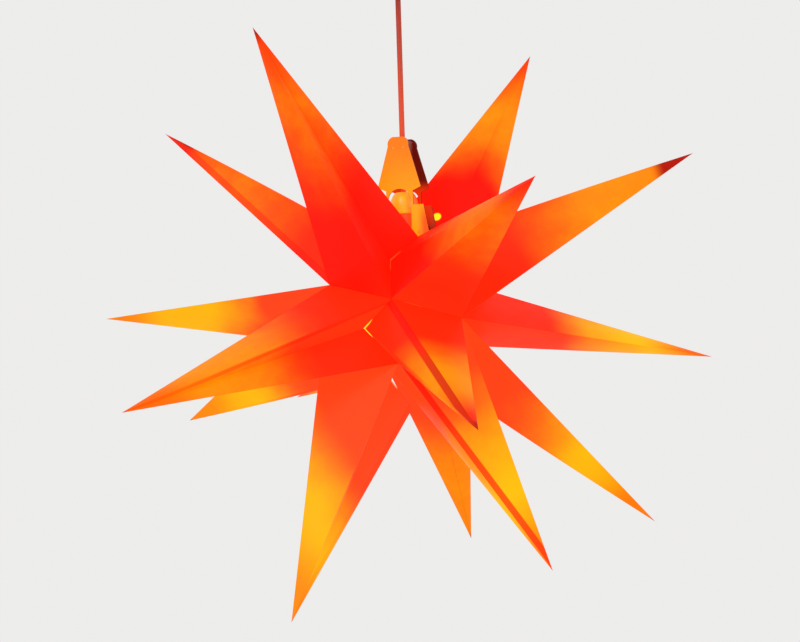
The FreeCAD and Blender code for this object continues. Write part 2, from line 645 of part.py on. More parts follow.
def make_ceiling():
    save("canopy_cup", canopy_cup())
    spigot_top = -CUP_DEPTH + CUP_WALL + SPIGOT_H
    guide = CORD_D / 2 + CORD_PLAY
    flare = guide + (MOUTH_DEPTH + FLARE_RISE) * math.tan(math.radians(SWING_LIMIT + FLARE_SPARE))
    collar = [
        (guide, spigot_top),
        (CUP_HOLE_R - TOUCH, spigot_top),
        (CUP_HOLE_R - TOUCH, -CUP_DEPTH - TOUCH),
        (COLLAR_R, -CUP_DEPTH - TOUCH),
        (COLLAR_R - COLLAR_SLOPE, COLLAR_MOUTH),
        (flare, COLLAR_MOUTH),
        (guide, PIVOT_Z + FLARE_RISE),
    ]
    grub_z = -CUP_DEPTH + CUP_WALL + GRUB_RISE
    across = Vector(0, 1, 0)
    hole = Part.makeCylinder(GRUB_R + TOUCH, COLLAR_R, Vector(0, 0, grub_z), across)
    save("canopy_collar", turned(collar).cut(hole))
    grub_l = CUP_HOLE_R - guide - TOUCH
    save("collar_screw", Part.makeCylinder(GRUB_R, grub_l, Vector(0, guide, grub_z), across))
    strip = block(-PLATE_L / 2, PLATE_L / 2, -PLATE_W / 2, PLATE_W / 2, -STRIP_T, 0)
    for side in (-1, 1):
        strip = strip.cut(slot(side * SLOT_SPACING / 2))
    save("ceiling_plate", strip)
    clamp_low = -STRIP_T - CLAMP_H
    clamp = block(-CLAMP_W / 2, CLAMP_W / 2, -CLAMP_W / 2, CLAMP_W / 2, clamp_low, -STRIP_T)
    window_low = -STRIP_T - SHEATH_END - WINDOW_DROP
    window_top = window_low + WINDOW_H
    clamp = clamp.cut(tube(CORD_D / 2 + TOUCH, 0, clamp_low - 1, window_top))
    clamp = clamp.cut(block(0, CLAMP_W, -WINDOW_HALF, WINDOW_HALF, window_low, window_top))
    screw_top = -STRIP_T - CLAMP_SCREW_END
    head_top = clamp_low - TOUCH
    screws = []
    for side in (-1, 1):
        y = side * (CLAMP_W / 2 - HEAD_R)
        clamp = clamp.cut(tube(SCREW_R + TOUCH, 0, clamp_low - 1, screw_top, 0, y))
        shank = tube(SCREW_R, 0, head_top, screw_top - TOUCH, 0, y)
        screws.append(shank.fuse(tube(HEAD_R, 0, head_top - HEAD_H, head_top, 0, y)))
    save("cord_clamp", clamp)
    save("clamp_screws", *screws)
    save("cord_in_canopy", tube(CORD_D / 2, 0, PIVOT_Z + SWING_GAP, -STRIP_T - SHEATH_END))
    make_terminals()


def slot(x):
    """A slotted hole through the fixing plate, long the way the plate runs."""
    straight = SLOT_L - 2 * SLOT_HALF
    middle = block(x - straight / 2, x + straight / 2, -SLOT_HALF, SLOT_HALF, -STRIP_T - 1, 1)
    ends = [tube(SLOT_HALF, 0, -STRIP_T - 1, 1, x + side * straight / 2) for side in (-1, 1)]
    return middle.fuse(ends)


def make_terminals():
    """Two-way terminal block beside the clamp, with its screws and the cord's two cores."""
    x_low = CLAMP_W / 2 + TERMINAL_GAP
    y_half = TERMINAL_L / 2
    z_low = -STRIP_T - TERMINAL_H
    body = block(x_low, x_low + TERMINAL_W, -y_half, y_half, z_low, -STRIP_T)
    screws = []
    cores = []
    for side in (-1, 1):
        y = side * TERMINAL_L / 4
        x = x_low + TERMINAL_W / 2
        screw_top = z_low + TERMINAL_SCREW_L
        body = body.cut(tube(SCREW_R + TOUCH, 0, z_low - 1, screw_top, x, y))
        screws.append(tube(SCREW_R, 0, z_low - TERMINAL_SCREW_OUT, screw_top - TOUCH, x, y))
        root = Vector(0, side * (CORE_D / 2 + CORE_OFF), -STRIP_T - SHEATH_END + TOUCH)
        bend = root + Vector(0, 0, SHEATH_END / 3)
        end = Vector(x_low + TERMINAL_REACH, y - side * CORE_D / 2, bend.z)
        body = body.cut(bent_core([root, bend, end], CORE_D / 2 + TOUCH))
        cores.append(bent_core([root, bend, end - (end - bend).normalize() * TOUCH], CORE_D / 2))
    save("terminal_block", body)
    save("terminal_screws", *screws)
    save("canopy_cores", *cores)


os.makedirs("parts", exist_ok=True)
make_star()
make_hanger()
make_cord()
make_holder()
make_bulb()
make_ceiling()
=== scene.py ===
import json
import math

import bmesh
import bpy
import numpy as np
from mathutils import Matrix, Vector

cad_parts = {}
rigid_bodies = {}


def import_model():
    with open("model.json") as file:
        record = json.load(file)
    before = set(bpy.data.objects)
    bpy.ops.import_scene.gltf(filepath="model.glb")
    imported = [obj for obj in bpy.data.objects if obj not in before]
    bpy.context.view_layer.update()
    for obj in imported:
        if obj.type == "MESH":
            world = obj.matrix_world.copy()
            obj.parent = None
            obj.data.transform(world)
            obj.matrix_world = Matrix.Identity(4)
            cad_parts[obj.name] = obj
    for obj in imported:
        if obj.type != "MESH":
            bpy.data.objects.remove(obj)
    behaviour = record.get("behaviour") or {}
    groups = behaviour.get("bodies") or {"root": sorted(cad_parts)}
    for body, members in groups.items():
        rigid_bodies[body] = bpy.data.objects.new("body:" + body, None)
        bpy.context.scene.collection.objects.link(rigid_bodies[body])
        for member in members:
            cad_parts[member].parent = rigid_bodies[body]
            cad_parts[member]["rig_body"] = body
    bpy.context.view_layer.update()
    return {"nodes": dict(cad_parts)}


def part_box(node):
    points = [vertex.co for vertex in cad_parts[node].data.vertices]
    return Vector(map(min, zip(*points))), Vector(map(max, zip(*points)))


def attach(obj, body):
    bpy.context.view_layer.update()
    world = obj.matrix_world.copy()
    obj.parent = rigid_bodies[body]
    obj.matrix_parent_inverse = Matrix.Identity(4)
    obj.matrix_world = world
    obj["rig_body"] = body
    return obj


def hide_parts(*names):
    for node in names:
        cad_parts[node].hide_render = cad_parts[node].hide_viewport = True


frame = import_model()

# ---------------------------------------------------------------- places, in metres
MM = 0.001
SAME_PLACE = 1e-6
STAR_CENTRE = np.array([0.0, 0.0, -0.352])
HANGER_TURN = math.radians(15)

# the photograph's frame: the star's centre, and how far and how large it is seen
PHOTO_WIDTH = 800
PHOTO_MIDDLE = (400.0, 321.0)
STAR_PIXEL = (408.0, 326.0)
METRES_PER_PIXEL = 0.0009317
VIEW_DISTANCE = 1.813
LEAN = math.radians(1.76)
SENSOR_MM = 36.0

# colours of the lit film, as the eye sees them
RED = (255, 18, 3)
SCARLET = (255, 40, 8)
ROSE = (255, 70, 24)
FLAME = (252, 66, 4)
ORANGE = (255, 98, 4)
AMBER = (255, 132, 6)
YELLOW = (255, 184, 10)
BRICK = (206, 38, 1)
EMBER = (172, 20, 2)
SUN = (255, 238, 70)
PEACH = (255, 150, 90)
LAMPLIGHT = (255, 246, 30)


def linear(colour):
    """An sRGB colour of 0 to 255 as the linear values that a shader takes."""
    shares = np.array(colour, float) / 255
    values = np.where(shares <= 0.04045, shares / 12.92, ((shares + 0.055) / 1.055) ** 2.4)
    return (*values.tolist(), 1.0)


def in_photo_plane(pixel):
    """The upright plane through the star's centre that faces the camera: the pixel's x and z there."""
    right = (pixel[0] - STAR_PIXEL[0]) * METRES_PER_PIXEL
    up = (STAR_PIXEL[1] - pixel[1]) * METRES_PER_PIXEL
    x = right * math.cos(LEAN) + up * math.sin(LEAN)
    z = -right * math.sin(LEAN) + up * math.cos(LEAN)
    return np.array([x, STAR_CENTRE[2] + z])


# ---------------------------------------------------------------- camera
def make_camera():
    """Level camera square to the front, rolled by the photograph's lean."""
    middle = in_photo_plane(PHOTO_MIDDLE)
    data = bpy.data.cameras.new("photo_camera")
    data.sensor_width = SENSOR_MM
    data.lens = SENSOR_MM * VIEW_DISTANCE / (METRES_PER_PIXEL * PHOTO_WIDTH)
    camera = bpy.data.objects.new("photo_camera", data)
    camera.location = (middle[0], -VIEW_DISTANCE, middle[1])
    camera.rotation_euler = (math.radians(90), 0, 0)
    camera.rotation_euler.rotate_axis("Z", -LEAN)
    bpy.context.scene.collection.objects.link(camera)
    bpy.context.scene.camera = camera


# ---------------------------------------------------------------- shader maths
class Term:
    """A shader socket; sums, products and the like on it add their Math nodes."""

    def __init__(self, finish, socket):
        self.finish = finish
        self.socket = socket

    def combine(self, operation, first, second):
        return self.finish.add("ShaderNodeMath", {"operation": operation}, {0: first, 1: second})

    def __add__(self, other):
        return self.combine("ADD", self, other)

    def __radd__(self, other):
        return self.combine("ADD", other, self)

    def __sub__(self, other):
        return self.combine("SUBTRACT", self, other)

    def __rsub__(self, other):
        return self.combine("SUBTRACT", other, self)

    def __mul__(self, other):
        return self.combine("MULTIPLY", self, other)

    def __rmul__(self, other):
        return self.combine("MULTIPLY", other, self)

    def __abs__(self):
        return self.finish.add("ShaderNodeMath", {"operation": "ABSOLUTE"}, {0: self})


class Finish:
    """One material: its nodes are added by one method, and a few named mixtures are built from that."""

    def __init__(self, name):
        self.material = bpy.data.materials.new(name)
        self.material.use_nodes = True
        self.tree = self.material.node_tree
        self.shader = next(n for n in self.tree.nodes if n.type == "BSDF_PRINCIPLED")

    def add(self, kind, settings=(), inputs=(), output=0):
        node = self.tree.nodes.new(kind)
        for key, value in dict(settings).items():
            setattr(node, key, value)
        for key, value in dict(inputs).items():
            self.feed(node.inputs[key], value)
        return Term(self, node.outputs[output])

    def feed(self, socket, value):
        if isinstance(value, Term):
            self.tree.links.new(value.socket, socket)
        else:
            socket.default_value = value

    def surface(self, **values):
        """Principled sockets, with spaces written as underscores."""
        for key, value in values.items():
            self.feed(self.shader.inputs[key.replace("_", " ")], value)
        return self.material

    def place(self):
        return self.add("ShaderNodeTexCoord", output="Object")

    def attribute(self, name):
        return self.add("ShaderNodeAttribute", {"attribute_name": name}, output="Fac")

    def noise(self, place, per_metre, detail, roughness=0.55):
        values = {"Vector": place, "Scale": per_metre, "Detail": detail, "Roughness": roughness}
        return self.add("ShaderNodeTexNoise", {}, values)

    def step(self, value, start, end):
        """Rises smoothly from 0 at start to 1 at end."""
        inputs = {"Value": value, "From Min": start, "From Max": end, "To Min": 0.0, "To Max": 1.0}
        return self.add("ShaderNodeMapRange", {"interpolation_type": "SMOOTHSTEP"}, inputs, "Result")

    def mix(self, share, first, second):
        """A colour between two, where share goes from 0 to 1."""
        inputs = {0: share, 6: first, 7: second}
        return self.add("ShaderNodeMix", {"data_type": "RGBA"}, inputs, 2)

    def shade(self, colour, brightness):
        """A colour times a number."""
        if not isinstance(colour, Term):
            colour = colour[:3]
        return self.vector("SCALE", {0: colour, "Scale": brightness}, 0)

    def vector(self, operation, inputs, output="Value"):
        return self.add("ShaderNodeVectorMath", {"operation": operation}, inputs, output)

    def near(self, place, point, radius):
        """1 at a point, falling to 0 at the radius."""
        return self.step(self.vector("DISTANCE", {0: place, 1: point}), radius, 0.0)

    def facing(self, direction):
        """How far the surface faces a direction of the object: 1 square to it, 0 edge on, -1 away."""
        normal = self.add("ShaderNodeTexCoord", output="Normal")
        return self.vector("DOT_PRODUCT", {0: normal, 1: direction})

    def height(self, place):
        return self.add("ShaderNodeSeparateXYZ", {}, {0: place}, "Z")

    def bump(self, height, distance, strength):
        inputs = {"Height": height, "Distance": distance, "Strength": strength}
        return self.add("ShaderNodeBump", {}, inputs)


# ---------------------------------------------------------------- mesh helpers
SIDES = 96
SOFT_EDGE_W = 0.35 * MM

# degrees that faces turn by: at a crisp edge, at a fold of film, at an edge to soften, and within a flat
CRISP_EDGE = 35
FILM_FOLD = 14
SOFT_EDGE_FROM = 40
FLAT_WITHIN = 0.5


def read_triangles(node):
    """A CAD node's triangles as an array of corners."""
    mesh = frame["nodes"][node].data
    places = np.zeros(len(mesh.vertices) * 3)
    mesh.vertices.foreach_get("co", places)
    mesh.calc_loop_triangles()
    corners = np.zeros(len(mesh.loop_triangles) * 3, int)
    mesh.loop_triangles.foreach_get("vertices", corners)
    return places.reshape(-1, 3)[corners].reshape(-1, 3, 3)


def body_of_node(node):
    return frame["nodes"][node]["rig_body"]


def stand_for(piece, node):
    """Put a piece in the scene, in its CAD node's place and on its body."""
    bpy.context.scene.collection.objects.link(piece)
    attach(piece, body_of_node(node))
    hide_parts(node)


def new_mesh(name, points, faces, finish):
    mesh = bpy.data.meshes.new(name)
    mesh.from_pydata(points.tolist(), [], faces)
    mesh.update()
    mesh.polygons.foreach_set("use_smooth", np.ones(len(mesh.polygons), bool))
    mesh.materials.append(finish)
    return mesh


def ring_faces(start, count):
    """Pairs of neighbours round a closed ring of points."""
    return [(start + k, start + (k + 1) % count) for k in range(count)]


def loop_faces(rows, columns, start=0):
    """Quads between the closed rings of a grid whose points are stored row by row."""
    row, column = np.meshgrid(np.arange(rows - 1), np.arange(columns), indexing="ij")
    following = (column + 1) % columns
    low = start + row * columns
    high = low + columns
    quads = np.stack([low + column, low + following, high + following, high + column], axis=-1)
    return quads.reshape(-1, 4)


def finish_faces(mesh, crease, merge):
    """Turn every face outwards, and shade smoothly except over edges that turn by more than the crease."""
    work = bmesh.new()
    work.from_mesh(mesh)
    if merge:
        bmesh.ops.remove_doubles(work, verts=work.verts, dist=SAME_PLACE)
    bmesh.ops.recalc_face_normals(work, faces=work.faces)
    for edge in work.edges:
        edge.smooth = not edge.is_manifold or edge.calc_face_angle(0) < math.radians(crease)
    work.to_mesh(mesh)
    work.free()


def turned_piece(name, node, profile, finish):
    """The closed outline of (radius, height) points, turned round the upright axis: x = r cos, y = r sin."""
    outline = np.array(profile)
    angles = np.linspace(0, 2 * math.pi, SIDES, endpoint=False)
    x = outline[:, 0, None] * np.cos(angles)
    y = outline[:, 0, None] * np.sin(angles)
    z = np.repeat(outline[:, 1, None], SIDES, axis=1)
    points = np.stack([x, y, z], axis=-1).reshape(-1, 3)
    faces = loop_faces(len(outline), SIDES).tolist()
    last = ring_faces((len(outline) - 1) * SIDES, SIDES)
    first = ring_faces(0, SIDES)
    faces += [[a, b, d, c] for (a, b), (c, d) in zip(last, first)]
    mesh = new_mesh(name, points, faces, finish)
    finish_faces(mesh, CRISP_EDGE, True)
    stand_for(bpy.data.objects.new(name, mesh), node)


def arc(middle, radius, start, end, count):
    """Points of an arc in the outline's plane, angles in degrees."""
    angles = np.radians(np.linspace(start, end, count))
    return [(middle[0] + radius * math.cos(a), middle[1] + radius * math.sin(a)) for a in angles]


def softened_piece(node, finish):
    """A copy of a moulded or pressed part whose sharp edges are rounded a little."""
    mesh = frame["nodes"][node].data.copy()
    work = bmesh.new()
    work.from_mesh(mesh)
    bmesh.ops.remove_doubles(work, verts=work.verts, dist=SAME_PLACE)
    flat = math.radians(FLAT_WITHIN)
    bmesh.ops.dissolve_limit(work, angle_limit=flat, verts=work.verts, edges=work.edges)
    work.to_mesh(mesh)
    work.free()
    mesh.name = node + "_soft"
    mesh.materials.clear()
    mesh.materials.append(finish)
    piece = bpy.data.objects.new(node + "_soft", mesh)
    stand_for(piece, node)
    bevel = piece.modifiers.new("edges", "BEVEL")
    bevel.width = SOFT_EDGE_W
    bevel.segments = 2
    bevel.limit_method = "ANGLE"
    bevel.angle_limit = math.radians(SOFT_EDGE_FROM)
    bevel.use_clamp_overlap = True


# ---------------------------------------------------------------- film spikes
# each spike: colour at its base, share of its length where that gives way and how softly, colour where the
# film is brightest, colour beyond that, and the share where the tip's painted shade in ember red starts
SPIKE_LOOKS = {
    "a_upper": (RED, 0.50, 0.22, ORANGE, FLAME, 0.95),
    "b_upper": (RED, 0.44, 0.18, ORANGE, SCARLET, 1.05),
    "c_upper": (SCARLET, 0.49, 0.20, AMBER, AMBER, 0.85),
    "d_upper": (RED, 0.53, 0.17, AMBER, FLAME, 0.98),
    "e_upper": (RED, 0.45, 0.20, ORANGE, FLAME, 0.94),
    "f_upper": (SCARLET, 0.42, 0.22, ORANGE, FLAME, 0.85),
    "a_middle": (SCARLET, 0.46, 0.20, AMBER, ORANGE, 0.99),
    "b_middle": (SCARLET, 0.46, 0.16, AMBER, SCARLET, 0.93),
    "c_middle": (SCARLET, 0.52, 0.18, YELLOW, ORANGE, 0.99),
    "d_middle": (SCARLET, 0.46, 0.18, YELLOW, AMBER, 0.98),
    "e_middle": (SCARLET, 0.46, 0.18, YELLOW, AMBER, 0.98),
    "f_middle": (ROSE, 0.44, 0.10, YELLOW, AMBER, 1.0),
    "a_lower": (ROSE, 0.58, 0.22, YELLOW, AMBER, 1.0),
    "b_lower": (ROSE, 0.46, 0.20, YELLOW, AMBER, 0.99),
    "c_lower": (ROSE, 0.50, 0.20, YELLOW, ORANGE, 0.98),
    "d_lower": (ROSE, 0.40, 0.22, AMBER, AMBER, 0.98),
    "e_lower": (ROSE, 0.40, 0.18, AMBER, ORANGE, 0.98),
    "f_lower": (ROSE, 0.52, 0.18, YELLOW, AMBER, 0.99),
}
# shares of its length between which every spike dims
DIM_FROM = 0.68
DIM_TO = 0.96

# corners of the star's core in the photograph
AB_SHOULDER = (391, 262)
AB_HIGH = (392, 299)
AB_BEND = (366, 328)
AB_LOW = (398, 362)
AB_HIP = (391, 378)
A_CORNER = (412, 408)
BC_WAIST = (460, 318)
FA_WAIST = (330, 285)
SEAM_SPLIT = (414, 303)

# glue flaps: the corner whose ridge carries the flap, the corner on the flap's side of it, the flap's colour
# in the bright part of the spike, and how strongly it shows
FLAPS = {
    "a_upper": (AB_SHOULDER, AB_HIGH, FLAME, 0.35),
    "a_middle": (AB_HIGH, AB_BEND, FLAME, 0.5),
    "b_middle": (AB_HIGH, AB_BEND, BRICK, 0.92),
    "b_lower": (AB_LOW, BC_WAIST, SCARLET, 0.85),
    "a_lower": (A_CORNER, AB_HIP, FLAME, 0.15),
    "f_upper": (FA_WAIST, AB_SHOULDER, SCARLET, 0.6),
}
FLAP_W = 6.5 * MM
FLAP_RAISE = 0.35 * MM
FLAP_EDGE = 0.7 * MM
# the width under which a panel raises its flap less, and the distance that a panel without a flap reads
FLAP_TAPERS_FROM = 20 * MM
NO_FLAP = 0.099

# the lamp shines straight onto this film beside the hanger
LAMP_SPOT = ("d_upper", (437, 217), 6 * MM)

# where lamp light leaks along a seam: place, reach and colour
LEAKS = {
    "a_middle": (AB_BEND, 14 * MM, SUN),
    "b_middle": (AB_BEND, 10 * MM, YELLOW),
    "a_lower": (AB_HIP, 17 * MM, PEACH),
    "a_upper": (AB_SHOULDER, 17 * MM, ROSE),
    "b_upper": (SEAM_SPLIT, 12 * MM, ROSE),
}
LEAK_W = 1.5 * MM

# the film itself
FOLD_W = 0.8 * MM
SEAM_W = 0.9 * MM
FILM_BOW = 1.3 * MM
FILM_T = 0.45 * MM

# its inside: film thicknesses nearer to the axis, the least share of the way out, and where the hollow ends
DRAWN_IN = 1.3
LEAST_DRAWN = 0.4
HOLLOW_END = 0.90

# its grid: rows to the tip and how they crowd there, columns between the folds, and the shares of a panel
# that its folds keep to
ROWS = 30
ROW_CROWDING = 1.15
COLUMNS = 8
RIDGE_SHARE = 0.44
FAR_SHARE = 0.9
EDGE_STEPS = 40

# noise in the film: per metre, detail and roughness
CLOUDS = (11.0, 2.0, 0.45)
WISPS = (65.0, 4.0, 0.6)
GRAIN = (520.0, 2.0, 0.6)

# how far each of them moves the change of colour, as a share of the spike's length
CLOUD_DRIFT = 0.34
FACET_LIGHT_DRIFT = 0.10
WISP_DRIFT = 0.03
# painted facet light: panels that face this way are painted brighter, those turned away rosier at the base
FACET_LIGHT_FROM = np.array([-0.35, -0.45, 0.82])
FILM_GLOW = 0.82
FILM_TINT = 0.40


def read_pyramid(node):
    """A spike's tip and its base corners in order: its panels are the triangles that reach the tip."""
    triangles = read_triangles(node)
    corners = triangles.reshape(-1, 3)
    tip = corners[np.argmax(np.linalg.norm(corners - STAR_CENTRE, axis=1))]
    touches = np.linalg.norm(triangles - tip, axis=2) < SAME_PLACE
    panels = touches.any(axis=1)
    following = {}
    starts = {}
    for panel, touch in zip(triangles[panels], touches[panels]):
        first = int(np.argmax(touch))
        a = panel[(first + 1) % 3]
        b = panel[(first + 2) % 3]
        following[tuple(np.round(a, 6))] = tuple(np.round(b, 6))
        starts[tuple(np.round(a, 6))] = a
    key = next(iter(following))
    ring = []
    for _ in range(len(following)):
        ring.append(starts[key])
        key = following[key]
    return tip, np.array(ring)


def nearest(points, pixel):
    """The point that lies nearest a pixel, among those on the front of the star."""
    gap = np.linalg.norm(points[:, [0, 2]] - in_photo_plane(pixel), axis=1)
    return int(np.argmin(gap + np.maximum(points[:, 1], 0)))


def flap_side(name, ring):
    """The panel that carries the flap, and whether the flap is along its first ridge."""
    if name not in FLAPS:
        return None, True
    corner = nearest(ring, FLAPS[name][0])
    side = nearest(ring, FLAPS[name][1])
    if side == (corner + 1) % len(ring):
        return corner, True
    return (corner - 1) % len(ring), False


def panel_columns(width, has_flap):
    """Shares across a panel, row by row: close together at its folds and along a glue flap."""
    marks = [0.0, FOLD_W]
    if has_flap:
        marks += [FLAP_W - FOLD_W / 2, FLAP_W + FOLD_W / 2]
    near = np.minimum(np.array(marks) / width, np.linspace(0, RIDGE_SHARE, len(marks)))
    first = near[:, -1:]
    far = np.maximum(1 - FOLD_W / width, FAR_SHARE)
    rest = first + (far - first) * np.linspace(0, 1, COLUMNS)[1:]
    return np.concatenate([near, rest], axis=1)


def panel_lift(shares, along, width, has_flap):
    """How far the film stands off its flat panel: the bow times sin(pi s) 4 v (1 - v), and the flap."""
    lift = FILM_BOW * np.sin(math.pi * shares) * (4 * along * (1 - along))
    if has_flap:
        from_ridge = shares * width
        raised = np.clip((FLAP_W + FOLD_W / 2 - from_ridge) / FOLD_W, 0, 1)
        raised = raised * np.clip(from_ridge / FOLD_W, 0, 1) * np.minimum(width / FLAP_TAPERS_FROM, 1)
        lift = lift + FLAP_RAISE * raised
    return lift


def film_panel(a, b, tip, along, has_flap, flap_first):
    """One panel's points and what its finish reads there: p = left(v) + (right(v) - left(v)) s + n lift.

    left and right go straight from the base's corners to the tip. A flap on the second ridge turns the
    columns round.
    """
    normal = np.cross(a - tip, b - tip)
    height = np.linalg.norm(normal) / np.linalg.norm(b - a)
    normal = normal / np.linalg.norm(normal)
    left = a + (tip - a) * along
    right = b + (tip - b) * along
    width = np.linalg.norm(right - left, axis=1, keepdims=True)
    shares = panel_columns(width, has_flap)
    lift = panel_lift(shares, along, width, has_flap)
    if has_flap and not flap_first:
        ridge = np.zeros((ROWS, 1))
        shares = np.concatenate([ridge, 1 - shares[:, :0:-1]], axis=1)
        lift = np.concatenate([ridge, lift[:, :0:-1]], axis=1)
    points = left[:, None] + (right - left)[:, None] * shares[..., None] + normal * lift[..., None]
    from_ridge = shares * width
    to_next = (1 - shares) * width
    flap = from_ridge if flap_first else to_next
    facts = {
        "along": np.broadcast_to(along, shares.shape),
        "flap": flap if has_flap else np.full(shares.shape, NO_FLAP),
        "fold": np.minimum(from_ridge, to_next),
        "seam": np.broadcast_to(along * height, shares.shape),
        # tone is painted facet light: higher on a panel that faces the light's given direction
        "tone": np.full(shares.shape, 0.5 + 0.5 * float(normal @ FACET_LIGHT_FROM)),
    }
    return points, facts


def film_shell(outer, tip, ring, along, keep):
    """Points and faces of the closed film: the outer grid, the tip, and the grid drawn in to the axis."""
    total = outer.shape[1]
    middle = ring.mean(axis=0)
    axis_line = (middle + (tip - middle) * along)[keep]
    away = outer[keep] - axis_line[:, None]
    size = np.linalg.norm(away, axis=2, keepdims=True)
    inner = axis_line[:, None] + away * np.maximum(1 - DRAWN_IN * FILM_T / size, LEAST_DRAWN)
    points = np.concatenate([outer.reshape(-1, 3), tip[None], inner[::-1].reshape(-1, 3), axis_line[-1:]])
    tip_index = ROWS * total
    inner_start = tip_index + 1
    end_index = len(points) - 1
    inner_rows = len(inner)
    faces = loop_faces(ROWS, total).tolist()
    faces += [[a, b, tip_index] for a, b in ring_faces((ROWS - 1) * total, total)]
    faces += [[end_index, a, b] for a, b in ring_faces(inner_start, total)]
    faces += loop_faces(inner_rows, total, inner_start).tolist()
    rim = ring_faces(inner_start + (inner_rows - 1) * total, total)
    faces += [[a, b, d, c] for (a, b), (c, d) in zip(rim, ring_faces(0, total))]
    return points, faces


def write_facts(mesh, panels, keep, has_flap):
    """What the finish reads at each point, in the order of film_shell's points."""
    at_tip = {"along": 1.0, "flap": 0.0 if has_flap else NO_FLAP, "fold": 0.0}
    for fact in panels[0]:
        grid = np.concatenate([panel[fact] for panel in panels], axis=1)
        tip_value = at_tip.get(fact, float(grid[-1].mean()))
        inside = grid[keep][::-1].reshape(-1)
        whole = np.concatenate([grid.reshape(-1), [tip_value], inside, [float(grid[keep][-1].mean())]])
        layer = mesh.attributes.new(fact, "FLOAT", "POINT")
        layer.data.foreach_set("value", whole.astype(np.float32))


def film_spike(name, look):
    """One folded film pyramid, with its glue flap, as a thin closed shell."""
    node = "spike_" + name
    tip, ring = read_pyramid(node)
    flap_panel, flap_first = flap_side(name, ring)
    along = (1 - (1 - np.linspace(0, 1, ROWS + 1)[:-1]) ** ROW_CROWDING)[:, None]
    keep = along[:, 0] <= HOLLOW_END
    pairs = zip(ring, np.roll(ring, -1, axis=0))
    panels = [film_panel(a, b, tip, along, k == flap_panel, flap_first) for k, (a, b) in enumerate(pairs)]
    outer = np.concatenate([points for points, facts in panels], axis=1)
    points, faces = film_shell(outer, tip, ring, along, keep)
    mesh = new_mesh("film_" + name, points, faces, film_finish(name, tip, ring, look))
    write_facts(mesh, [facts for points, facts in panels], keep, flap_panel is not None)
    finish_faces(mesh, FILM_FOLD, False)
    stand_for(bpy.data.objects.new("film_" + name, mesh), node)


def leak_place(name, ring):
    """The point of the base's edge that lies nearest the leak's pixel."""
    shares = np.linspace(0, 1, EDGE_STEPS)[:, None, None]
    edge = ring[None] + (np.roll(ring, -1, axis=0) - ring)[None] * shares
    edge = edge.reshape(-1, 3)
    return edge[nearest(edge, LEAKS[name][0])]


def point_under(pixel, tip, ring):
    """Where the camera's ray through a pixel meets the spike's nearest panel."""
    middle = in_photo_plane(PHOTO_MIDDLE)
    aim = in_photo_plane(pixel)
    eye = np.array([middle[0], -VIEW_DISTANCE, middle[1]])
    ray = np.array([aim[0], 0.0, aim[1]]) - eye
    hits = []
    for a, b in zip(ring, np.roll(ring, -1, axis=0)):
        share = np.linalg.solve(np.stack([a - tip, b - tip, -ray], axis=1), eye - tip)
        if share[0] > 0 and share[1] > 0 and share[0] + share[1] < 1:
            hits.append(eye + ray * share[2])
    return min(hits, key=lambda hit: hit[1]) if hits else tip


def film_colour(film, look, along, tone, clouds, wisps):
    """From the base's red to the bright film and on to the tip's painted shade, with tone's painted facet
    light; also how far the film is bright.
    """
    base, turn, softness, bright, beyond, dim_tip_from = look
    cloud = clouds - 0.5
    # the change of colour moves at random with clouds and wisps, and with tone, which is painted facet light
    drift = along + cloud * CLOUD_DRIFT + (tone - 0.5) * FACET_LIGHT_DRIFT + (wisps - 0.5) * WISP_DRIFT
    lit = film.step(drift, turn - softness, turn + softness)
    # painted facet light, broken up by random clouds: panels turned from the light get a rosier base
    paler = film.step(tone + cloud * 0.6, 0.7, 0.1) * 0.45
    colour = film.mix(lit, film.mix(paler, linear(base), linear(ROSE)), linear(bright))
    colour = film.mix(film.step(wisps, 0.3, 0.75) * lit * 0.14, colour, linear(YELLOW))
    colour = film.mix(film.step(drift, DIM_FROM, DIM_TO), colour, linear(beyond))
    # painted shade: the tip turns dark ember red, where less of the lamp's light comes through
    dim_tip = film.step(along + cloud * 0.03, dim_tip_from - 0.025, dim_tip_from + 0.035)
    return film.mix(dim_tip, colour, linear(EMBER)), lit


